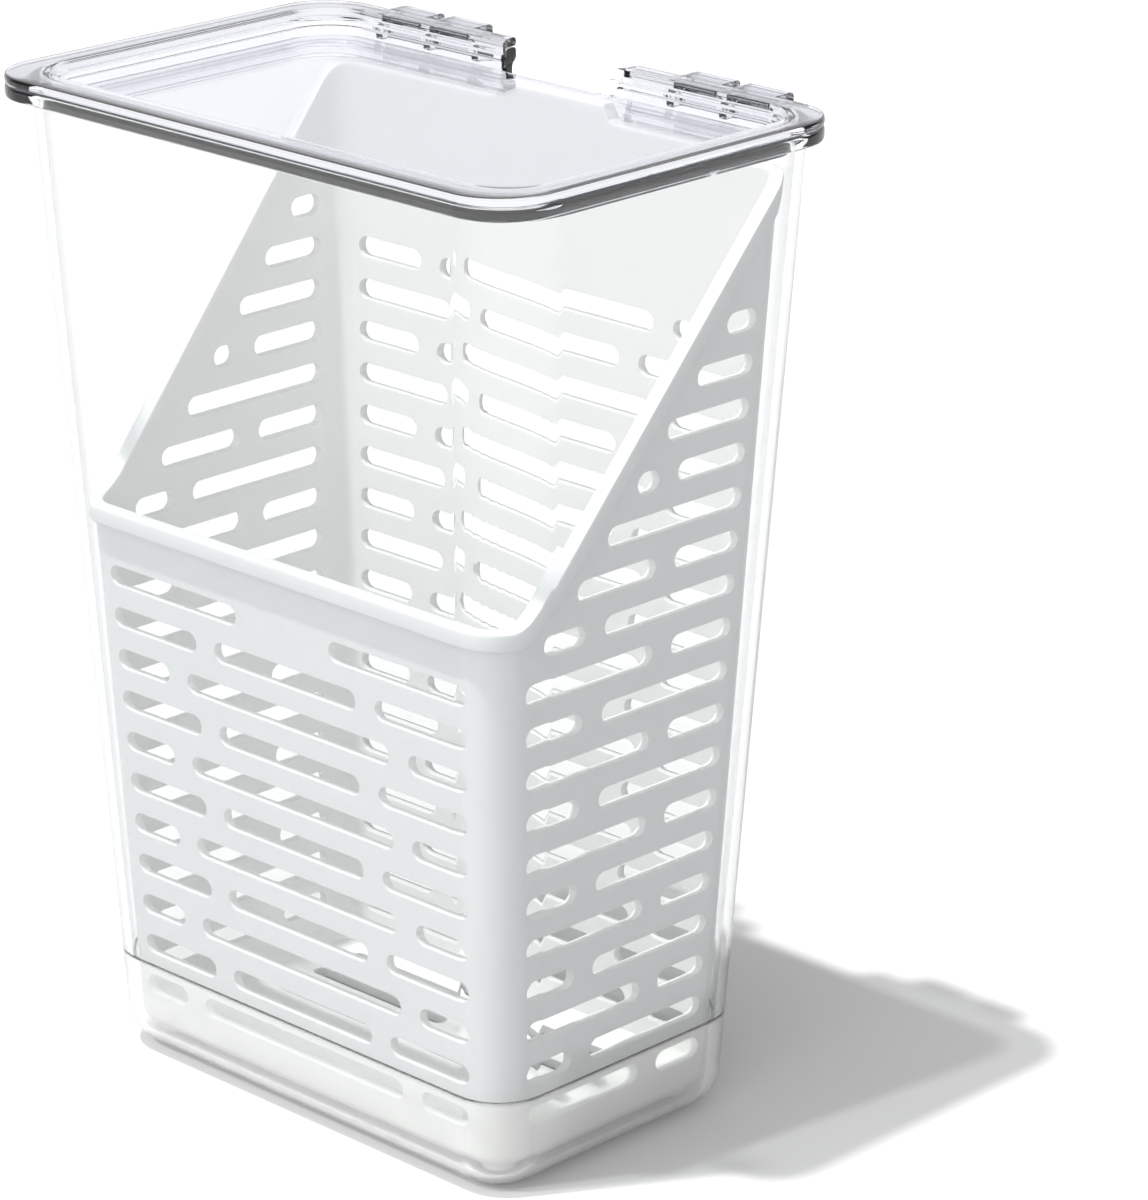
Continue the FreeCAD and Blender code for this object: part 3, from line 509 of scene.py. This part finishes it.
def lidStations():
    # from the panel's underside out, up the plug, round the flange and down the stepped recess
    top, under = lid["top"], lid["underside"]
    stepFloor = top - lid["stepDepth"]
    stepUnder = stepFloor - lid["wall"]
    panelTop = top - lid["recessDepth"]
    panelUnder = panelTop - lid["panel"]
    upper = wallOutline(stepUnder, container["wall"] + lid["clearance"])
    lower = shrunk(upper, lid["stepWidth"])
    wall = lid["wall"]
    rim, round_, bend = container["rim"], container["rimRound"], container["rimBend"]
    return [
        (shrunk(lower, 0.8), panelUnder),
        (shrunk(lower, 0.23), panelUnder + 0.23),
        (lower, panelUnder + 0.8),
        (lower, stepUnder - 0.3),
        (shrunk(upper, 0.9), stepUnder),
        (shrunk(upper, 0.2), stepUnder + 0.2),
        (upper, stepUnder + 0.8),
        (upper, under - 0.3),
        (shrunk(upper, -0.3), under),
        (shrunk(rim, 0.6), under),
        (shrunk(rim, 0.18), under + 0.18),
        (rim, under + 0.6),
        (rim, top - round_),
        (shrunk(rim, bend), top - bend),
        (shrunk(rim, round_), top),
        (shrunk(upper, wall - 0.6), top),
        (shrunk(upper, wall - 0.18), top - 0.18),
        (shrunk(upper, wall), top - 0.6),
        (shrunk(upper, wall), stepFloor + 0.4),
        (shrunk(upper, wall + 0.4), stepFloor),
        (shrunk(lower, wall - 0.4), stepFloor),
        (shrunk(lower, wall), stepFloor - 0.4),
        (shrunk(lower, wall), panelTop + 0.6),
        (shrunk(lower, wall + 0.18), panelTop + 0.18),
        (shrunk(lower, wall + 0.6), panelTop),
    ]


def buildLid():
    columns = columnsOf(12, 2)
    rings = [ringAt(columns, outline, height) for outline, height in lidStations()]
    shell = shellFromRings("lidShell", rings, [clearLid])
    half, round_, near = container["notchWidth"] / 2, lid["notchRound"], lid["notchFrom"]
    outline = arc((round_ - half, near + round_), round_, 180, 270, 8)
    outline += arc((half - round_, near + round_), round_, 270, 360, 8)
    outline += [(half, near + 2 * half), (-half, near + 2 * half)]
    cutter = extruded("lidNotchCutter", outline, *lid["notchCut"], "Z", [clearLid])
    return evenShading(cutWith(shell, cutter))


def buildClips():
    # an arm from the lid's edge and a broken ring that snaps over the pin, twice on each side
    y, z = hinge["y"], hinge["z"]
    inner = hinge["pinRadius"] + hinge["clearance"]
    outer = inner + hinge["clipWall"]
    edge, under, top = container["rim"][2], lid["underside"], lid["top"]
    clear = edge + hinge["overlap"]
    start = hinge["mouth"] / 2 - 90
    end = 270 - hinge["mouth"] / 2
    ring = arc((y, z), outer, start, end, 22) + arc((y, z), inner, end, start, 22)
    near, low = edge - hinge["overlap"], z + inner + hinge["armGap"]
    round_ = hinge["armRound"]
    arm = [(near, under), (clear, under), (clear, low), (y + outer / 2, low)]
    arm += arc((y + outer / 2 - round_, top - round_), round_, 0, 90, 4) + [(near, top)]
    length = (hinge["length"] - 3 * hinge["lug"]) / 2 - 2 * hinge["sideGap"]
    items = []
    for side in (1, -1):
        for lug in lugStarts()[:2]:
            start = lug + hinge["lug"] + hinge["sideGap"]
            ends = sorted((side * start, side * (start + length)))
            items.append(softEdges(extruded("arm", arm, *ends, "X", []), hinge["armEdge"]))
            items.append(softEdges(extruded("clip", ring, *ends, "X", []), hinge["clipEdge"]))
    return addObject("lidClips", joined("lidClips", items), [clearLid])


# basket

basket = {
    "bottom": 4.9,
    "shoulder": 220.5,
    "halfWidth": (60.92, 70.49),  # at its bottom and at its shoulders
    "front": (34.82, 44.10),
    "back": (34.86, 46.01),
    "corner": 8.0,
    "wall": 2.2,
    "lip": 2.0,
    "lipHeight": 4.2,
    "frontRim": 135.0,
    "slopeStart": 7.5,
    "slopeEnd": 5.0,
    "tongueWidth": 32.0,
    "tongueHeight": 3.7,
    "tongueRound": 3.5,
    "tongueFrom": 30,  # the rim rises only behind this, so that the front stays level
    "rimRounds": (5.0, 3.0),  # reach of the rounds at the foot and at the head of the slope
    "rimSteps": 12,
    "bevel": 4.0,
    "bevelShare": 0.586,  # of the wall: a 45 degree bevel keeps its thickness
    "footRadius": 4.0,
    "footHeight": 2.0,
    "footOverlap": 0.8,
    "footEdge": 0.4,
    "levels": (60.0, 110.0),  # rings that keep the tall faces of the walls well shaped
}
slots = {
    "height": 5.0,
    "pitch": 10.13,
    "firstRow": 192.0,
    "rows": 18,
    "frontRowsFrom": 8,
    "backRowsFrom": 2,
    "margin": 8.6,
    "slopeMargin": 12.5,
    "bridge": 6.0,
    "shortest": 6.5,
    "bareMiddle": 30.0,
    "wide": 66.0,
    "narrow": 46.0,
    "sideEven": 10.0,
    "sideOdd": -11.3,
    "endSteps": 8,
    "edgeRound": 0.4,
    "drainLength": 44.0,
    "drainWidth": 4.0,
    "drainPitch": 12.0,
    "frontCutter": 25.0,  # how far from the middle the cutters of the front and back start
    "sideCutter": 50.0,
    "cutterDepth": 30.0,
    "drainCutterDepth": 9.0,
    "drainCutterDrop": 3.0,  # from the basket's bottom down
}


def basketOutline(height, margin=0.0):
    share = (height - basket["bottom"]) / (basket["shoulder"] - basket["bottom"])
    half, front, back = (between(basket[name], share) for name in ("halfWidth", "front", "back"))
    return shrunk((half, front, back, basket["corner"]), -margin)


def smoothLeast(a, b, reach):
    # the smaller of two heights, with a round of that reach where they cross
    h = max(reach - abs(a - b), 0) / reach
    return min(a, b) - h * h * reach / 4


def slopeLine():
    startY = basket["slopeStart"] - basketOutline(basket["frontRim"])[1]
    endY = basketOutline(basket["shoulder"])[2] - basket["slopeEnd"]
    return startY, (basket["shoulder"] - basket["frontRim"]) / (endY - startY)


def tongueRise(x, y):
    # the raised tongue in the middle of the back, with its hollow round at each side
    edge, radius = basket["tongueWidth"] / 2, basket["tongueRound"]
    away = abs(x) - edge
    if y < basket["tongueFrom"] or away > radius:
        return 0.0
    if away <= 0:
        return basket["tongueHeight"]
    return radius - math.sqrt(max(radius ** 2 - (radius - away) ** 2, 0))


def rimHeightAt(x, y, depth):
    # the rim line seen from the side, or a line that stays depth below it
    startY, rise = slopeLine()
    slope = basket["frontRim"] + rise * (y - startY) - depth * math.sqrt(1 + rise ** 2)
    footRound, headRound = basket["rimRounds"]
    level = -smoothLeast(-(basket["frontRim"] - depth), -slope, footRound)
    height = smoothLeast(level, basket["shoulder"] - depth, headRound)
    left = max(0.0, 1 - depth / basket["lipHeight"])
    return height + left * tongueRise(x, y)


def rimPoint(column, margin, depth):
    # where a column reaches the rim line, found by a few steps because the wall leans
    height = basket["frontRim"]
    for step in range(basket["rimSteps"]):
        x, y = placeOn(column, basketOutline(height, margin))
        height = rimHeightAt(x, y, depth)
    x, y = placeOn(column, basketOutline(height, margin))
    return mm(x, y, height)


def buildBasket():
    edge, radius = basket["tongueWidth"] / 2, basket["tongueRound"]
    # the back's columns, closer together where the tongue rises
    steps = [radius * (1 - math.cos(math.radians(30 * i))) for i in (0, 1, 2, 3)]
    backPlaces = [-45, -32] + [-edge - radius + step for step in steps] + [-edge + 0.6, -8, 0]
    backPlaces += [-place for place in backPlaces[-2::-1]]
    columns = columnsOf(8, 24, backPlaces)
    lip, wall, bottom = basket["lip"], basket["wall"], basket["bottom"]
    bevel, band = basket["bevel"], basket["lipHeight"]
    lower, upper = basket["levels"]
    rings = [
        ringAt(columns, basketOutline(bottom, -bevel), bottom),
        ringAt(columns, basketOutline(bottom + 0.4 * bevel, -0.4 * bevel), bottom + 0.35 * bevel),
        ringAt(columns, basketOutline(bottom + bevel), bottom + bevel),
        ringAt(columns, basketOutline(lower), lower),
        ringAt(columns, basketOutline(upper), upper),
    ]
    # outward distance from the wall and depth below the rim line
    outside = [(0, band + 4.5), (0, band + 0.6), (0.15, band + 0.15), (0.6, band)]
    outside += [(lip - 0.5, band), (lip - 0.15, band - 0.15), (lip, band - 0.5)]
    outside += [(lip, 0.9), (lip - 0.26, 0.26), (lip - 0.9, 0)]
    inside = [(0.9 - wall, 0), (0.26 - wall, 0.26), (-wall, 0.9)]
    for margin, depth in outside + inside:
        rings.append([rimPoint(column, margin, depth) for column in columns])
    innerBevel = bevel - basket["bevelShare"] * wall
    floor = bottom + wall
    rings += [
        ringAt(columns, basketOutline(upper, -wall), upper),
        ringAt(columns, basketOutline(lower, -wall), lower),
        ringAt(columns, basketOutline(floor + innerBevel, -wall), floor + innerBevel),
        ringAt(columns, basketOutline(floor, -wall - innerBevel), floor),
    ]
    shell = shellFromRings("basketShell", rings, [basketPlastic])
    return evenShading(softEdges(cutSlots(shell), slots["edgeRound"], 60))


def rowSpans(start, end, breaks):
    # the stretches of a row between its bridges, without the very short ones
    spans = []
    for low, high in breaks:
        spans.append((start, min(low, end)))
        start = max(start, high)
    spans.append((start, end))
    return [span for span in spans if span[1] - span[0] > slots["shortest"]]


def slotRows():
    # the rectangles of the slots, wall by wall, as (start, end, bottom, top)
    rows = {"front": [], "back": [], "side": [], "floor": []}
    startY, rise = slopeLine()
    for row in range(1, slots["rows"] + 1):
        top = slots["firstRow"] - (row - 1) * slots["pitch"]
        bottom = top - slots["height"]
        middle = (bottom + top) / 2
        half, front, back, corner = basketOutline(middle)
        even = row % 2 == 0
        reach = slots["wide" if even else "narrow"] / 2
        breaks = [(-reach - slots["bridge"], -reach), (reach, reach + slots["bridge"])]
        ends = (slots["margin"] - half, half - slots["margin"])
        if row >= slots["backRowsFrom"]:
            rows["back"] += [(low, high, bottom, top) for low, high in rowSpans(*ends, breaks)]
        if row == slots["frontRowsFrom"]:
            breaks = [(-slots["bareMiddle"] / 2, slots["bareMiddle"] / 2)]
        if row >= slots["frontRowsFrom"]:
            rows["front"] += [(low, high, bottom, top) for low, high in rowSpans(*ends, breaks)]
        slope = startY + (middle - basket["frontRim"]) / rise
        start = max(slots["margin"] - front, slope + slots["slopeMargin"])
        place = slots["sideEven" if even else "sideOdd"]
        gap = [(place - slots["bridge"] / 2, place + slots["bridge"] / 2)]
        end = back - slots["margin"]
        rows["side"] += [(low, high, bottom, top) for low, high in rowSpans(start, end, gap)]
    near = slots["bridge"] / 2
    far = near + slots["drainLength"]
    for step in (-2, -1, 0, 1, 2):
        bottom = step * slots["drainPitch"] - slots["drainWidth"] / 2
        top = bottom + slots["drainWidth"]
        rows["floor"] += [(near, far, bottom, top), (-far, -near, bottom, top)]
    return rows


def slotNodes():
    # flat rectangles in the XY plane in, round-ended prisms turned towards their wall out
    tree = bpy.data.node_groups.new("slotCutters", "GeometryNodeTree")
    face = tree.interface
    sockets = (
        ("Geometry", "Geometry"),
        ("End radius", "Float"),
        ("Depth", "Float"),
        ("End steps", "Int"),
        ("Turn", "Rotation"),
        ("Place", "Vector"),
        ("Material", "Material"),
    )
    for name, kind in sockets:
        face.new_socket(name, in_out="INPUT", socket_type="NodeSocket" + kind)
    face.new_socket("Geometry", in_out="OUTPUT", socket_type="NodeSocketGeometry")
    given = addNode(tree, "NodeGroupInput").outputs
    outline = addNode(tree, "GeometryNodeMeshToCurve", inputs={"Mesh": given["Geometry"]})
    rounded = addNode(tree, "GeometryNodeFilletCurve", {"mode": "POLY"}, {
        "Curve": outline.outputs[0],
        "Radius": given["End radius"],
        "Limit Radius": True,
        "Count": given["End steps"],
    })
    filled = addNode(tree, "GeometryNodeFillCurve", {"mode": "NGONS"}, {"Curve": rounded.outputs[0]})
    upward = addNode(tree, "ShaderNodeCombineXYZ", inputs={"Z": given["Depth"]})
    pushed = addNode(tree, "GeometryNodeExtrudeMesh", {"mode": "FACES"}, {
        "Mesh": filled.outputs[0],
        "Offset": upward.outputs[0],
        "Offset Scale": 1.0,
        "Individual": False,
    })
    flipped = addNode(tree, "GeometryNodeFlipFaces", inputs={"Mesh": filled.outputs[0]})
    whole = addNode(tree, "GeometryNodeJoinGeometry")
    tree.links.new(pushed.outputs[0], whole.inputs[0])
    tree.links.new(flipped.outputs[0], whole.inputs[0])
    turned = addNode(tree, "GeometryNodeTransform", inputs={
        "Geometry": whole.outputs[0],
        "Rotation": given["Turn"],
        "Translation": given["Place"],
    })
    realized = addNode(tree, "GeometryNodeRealizeInstances", inputs={"Geometry": turned.outputs[0]})
    painted = addNode(tree, "GeometryNodeSetMaterial", inputs={
        "Geometry": realized.outputs[0],
        "Material": given["Material"],
    })
    addNode(tree, "NodeGroupOutput", inputs={"Geometry": painted.outputs[0]})
    return tree


def slotCutters(wall, rectangles, nodes, endRadius, depth, turn, place):
    # closed prisms that go through one wall, one for each of its slots
    work = bmesh.new()
    for low, high, bottom, top in rectangles:
        corners = [mm(low, bottom, 0), mm(high, bottom, 0), mm(high, top, 0), mm(low, top, 0)]
        work.faces.new([work.verts.new(point) for point in corners])
    mesh = bpy.data.meshes.new(wall + "Slots")
    work.to_mesh(mesh)
    work.free()
    places = addObject(wall + "Slots", mesh, [])
    modifier = places.modifiers.new("slots", "NODES")
    modifier.node_group = nodes
    named = {item.name: item.identifier for item in nodes.interface.items_tree if item.in_out == "INPUT"}
    modifier[named["End radius"]] = endRadius / 1000
    modifier[named["Depth"]] = depth / 1000
    modifier[named["End steps"]] = slots["endSteps"]
    modifier[named["Turn"]] = [math.radians(angle) for angle in turn]
    modifier[named["Place"]] = list(mm(*place))
    modifier[named["Material"]] = basketPlastic
    applied(places)
    work = bmesh.new()
    work.from_mesh(places.data)
    bmesh.ops.remove_doubles(work, verts=work.verts, dist=1e-6)
    bmesh.ops.recalc_face_normals(work, faces=work.faces)
    work.to_mesh(places.data)
    work.free()
    print("slots cut:", wall, len(rectangles))
    return places


def cutSlots(shell):
    rows = slotRows()
    nodes = slotNodes()
    mirrored = [(-high, -low, bottom, top) for low, high, bottom, top in rows["side"]]
    radius, drainRadius = slots["height"] / 2, slots["drainWidth"] / 2
    depth, drainDepth = slots["cutterDepth"], slots["drainCutterDepth"]
    near, side = slots["frontCutter"], slots["sideCutter"]
    low = basket["bottom"] - slots["drainCutterDrop"]
    # wall, its slots, end radius, depth, turn in degrees and place of the cutters
    walls = (
        ("front", rows["front"], radius, depth, (90, 0, 0), (0, -near, 0)),
        ("back", rows["back"], radius, depth, (90, 0, 180), (0, near, 0)),
        ("right", rows["side"], radius, depth, (90, 0, 90), (side, 0, 0)),
        ("left", mirrored, radius, depth, (90, 0, -90), (-side, 0, 0)),
        ("floor", rows["floor"], drainRadius, drainDepth, (0, 0, 0), (0, 0, low)),
    )
    for wall, rectangles, endRadius, depth, turn, place in walls:
        shell = cutWith(shell, slotCutters(wall, rectangles, nodes, endRadius, depth, turn, place))
    return shell


def buildFeet():
    # four low feet that keep the basket off the floor
    half, front, back, corner = basketOutline(basket["bottom"])
    inset = basket["bevel"] + basket["footRadius"]
    low = basket["bottom"] - basket["footHeight"]
    items = []
    for side in (1, -1):
        for y in (inset - front, back - inset):
            outline = arc((side * (half - inset), y), basket["footRadius"], 0, 345, 23)
            foot = extruded("foot", outline, low, basket["bottom"] + basket["footOverlap"], "Z", [])
            items.append(softEdges(foot, basket["footEdge"], 60))
    return addObject("basketFeet", joined("basketFeet", items), [basketPlastic])


shell = buildContainer()
lugs = buildLugs()
print("container made:", len(shell.data.polygons), "faces")
cover = buildLid()
clips = buildClips()
print("lid made:", len(cover.data.polygons), "faces")
holder = buildBasket()
feet = buildFeet()
print("basket made:", len(holder.data.polygons), "faces")

for piece, body, slotName in (
    (shell, "container", "clear_shell"),
    (lugs, "container", "clear_shell"),
    (cover, "lid", "clear_lid"),
    (clips, "lid", "clear_lid"),
    (holder, "basket", "white_basket"),
    (feet, "basket", "white_basket"),
):
    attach(piece, body)
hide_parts("container")
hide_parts("container")
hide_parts("lid")
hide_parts("lid")
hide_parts("basket")
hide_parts("basket")


# studio

studio = {
    "cameraPlace": (763.0, -731.0, 494.7),
    "azimuth": 44.28,
    "elevation": 19.73,
    "lens": 155.74,
    "sunTravel": (0.089, 0.276, -1.0),
    "sunStrength": 4.5,
    "sunAngle": 1.6,
    "frontLight": 2.45,
    "backLight": 0.5,
    "flags": (0.78, 0.95),  # how far to the side of the camera's line they start and are full
    "flagColour": (0.34, 0.34, 0.38, 1.0),
    "floorReach": 4.0,  # metres
    "floorColour": "#B5B5B5",
    "floorGlow": 0.1,
}


def buildFloor():
    # a wide paper sweep that the lights bring to white, and that keeps the shadow
    work = bmesh.new()
    reach = studio["floorReach"]
    corners = [(-reach, -reach), (reach, -reach), (reach, reach), (-reach, reach)]
    work.faces.new([work.verts.new((x, y, -0.0003)) for x, y in corners])
    mesh = bpy.data.meshes.new("floor")
    work.to_mesh(mesh)
    work.free()
    material, tree = newMaterial("whitePaperSweep")
    paper = addNode(tree, "ShaderNodeBsdfDiffuse", inputs={"Color": linear(studio["floorColour"])})
    glow = addNode(tree, "ShaderNodeEmission", inputs={
        "Color": linear("#FFFFFF"),
        "Strength": studio["floorGlow"],
    })
    lightPath = addNode(tree, "ShaderNodeLightPath").outputs
    seen = addNode(tree, "ShaderNodeMath", {"operation": "MAXIMUM"}, {
        0: lightPath["Is Camera Ray"],
        1: lightPath["Is Transmission Ray"],
    })
    seen = addNode(tree, "ShaderNodeMath", {"operation": "MAXIMUM"}, {
        0: seen.outputs[0],
        1: lightPath["Is Glossy Ray"],
    })
    both = addNode(tree, "ShaderNodeAddShader", inputs={0: paper.outputs[0], 1: glow.outputs[0]})
    mixed = addNode(tree, "ShaderNodeMixShader", inputs={
        0: seen.outputs[0],
        1: paper.outputs[0],
        2: both.outputs[0],
    })
    addNode(tree, "ShaderNodeOutputMaterial", inputs={"Surface": mixed.outputs[0]})
    floor = addObject("floor", mesh, [material])


def buildWorld():
    # white all round, with two grey flags at the sides that draw the lines along clear edges
    world = bpy.data.worlds.new("studio")
    bpy.context.scene.world = world
    world.use_nodes = True
    tree = world.node_tree
    tree.nodes.clear()
    lightPath = addNode(tree, "ShaderNodeLightPath").outputs
    direction = addNode(tree, "ShaderNodeTexCoord").outputs["Generated"]
    turned = addNode(tree, "ShaderNodeVectorRotate", {"rotation_type": "Z_AXIS"}, {
        "Vector": direction,
        "Angle": math.radians(-studio["azimuth"]),
    })
    parts = addNode(tree, "ShaderNodeSeparateXYZ", inputs={"Vector": turned.outputs[0]}).outputs
    sideways = addNode(tree, "ShaderNodeMath", {"operation": "ABSOLUTE"}, {0: parts["X"]}).outputs[0]
    flag = addNode(tree, "ShaderNodeMapRange", {"interpolation_type": "SMOOTHSTEP"}, {
        "Value": sideways,
        "From Min": studio["flags"][0],
        "From Max": studio["flags"][1],
    }).outputs[0]
    clear = addNode(tree, "ShaderNodeMath", {"operation": "MAXIMUM"}, {
        0: lightPath["Is Transmission Ray"],
        1: lightPath["Is Glossy Ray"],
    }).outputs[0]
    dark = addNode(tree, "ShaderNodeMath", {"operation": "MULTIPLY"}, {0: flag, 1: clear}).outputs[0]
    seen = addNode(tree, "ShaderNodeMix", {"data_type": "RGBA"}, {
        0: dark,
        6: (1.0, 1.0, 1.0, 1.0),
        7: studio["flagColour"],
    }).outputs[2]
    # the softbox stands in front, so what the light alone sees is brighter there
    ahead = addNode(tree, "ShaderNodeSeparateXYZ", inputs={"Vector": direction}).outputs["Y"]
    box = addNode(tree, "ShaderNodeMapRange", {"interpolation_type": "SMOOTHSTEP"}, {
        "Value": ahead,
        "From Min": -0.9,
        "From Max": 0.3,
        "To Min": studio["frontLight"],
        "To Max": studio["backLight"],
    })
    light = addNode(tree, "ShaderNodeBackground", inputs={
        "Color": (1.0, 1.0, 1.0, 1.0),
        "Strength": box.outputs[0],
    })
    shown = addNode(tree, "ShaderNodeBackground", inputs={"Color": seen, "Strength": 1.0})
    anyEye = addNode(tree, "ShaderNodeMath", {"operation": "MAXIMUM"}, {
        0: clear,
        1: lightPath["Is Camera Ray"],
    })
    mixed = addNode(tree, "ShaderNodeMixShader", inputs={
        0: anyEye.outputs[0],
        1: light.outputs[0],
        2: shown.outputs[0],
    })
    addNode(tree, "ShaderNodeOutputWorld", inputs={"Surface": mixed.outputs[0]})


def towards(azimuth, elevation):
    # the unit vector from the object to something at that azimuth, counted from -Y towards +X
    a, e = math.radians(azimuth), math.radians(elevation)
    return Vector((math.sin(a) * math.cos(e), -math.cos(a) * math.cos(e), math.sin(e)))


def buildLights():
    key = bpy.data.lights.new("key", "SUN")
    key.energy = studio["sunStrength"]
    key.angle = math.radians(studio["sunAngle"])
    lamp = bpy.data.objects.new("key", key)
    bpy.context.scene.collection.objects.link(lamp)
    lamp.rotation_euler = Vector(studio["sunTravel"]).to_track_quat("-Z", "Y").to_euler()


def buildCamera():
    camera = bpy.data.cameras.new("camera")
    camera.lens = studio["lens"]
    camera.sensor_fit = "HORIZONTAL"
    camera.sensor_width = 36.0
    camera.clip_start = 0.01
    camera.clip_end = 50.0
    eye = bpy.data.objects.new("camera", camera)
    bpy.context.scene.collection.objects.link(eye)
    look = -towards(studio["azimuth"], studio["elevation"])
    eye.location = mm(*studio["cameraPlace"])
    eye.rotation_euler = look.to_track_quat("-Z", "Y").to_euler()
    bpy.context.scene.camera = eye


buildFloor()
buildWorld()
buildLights()
buildCamera()
bpy.context.scene.view_settings.view_transform = "Standard"
print("studio made")
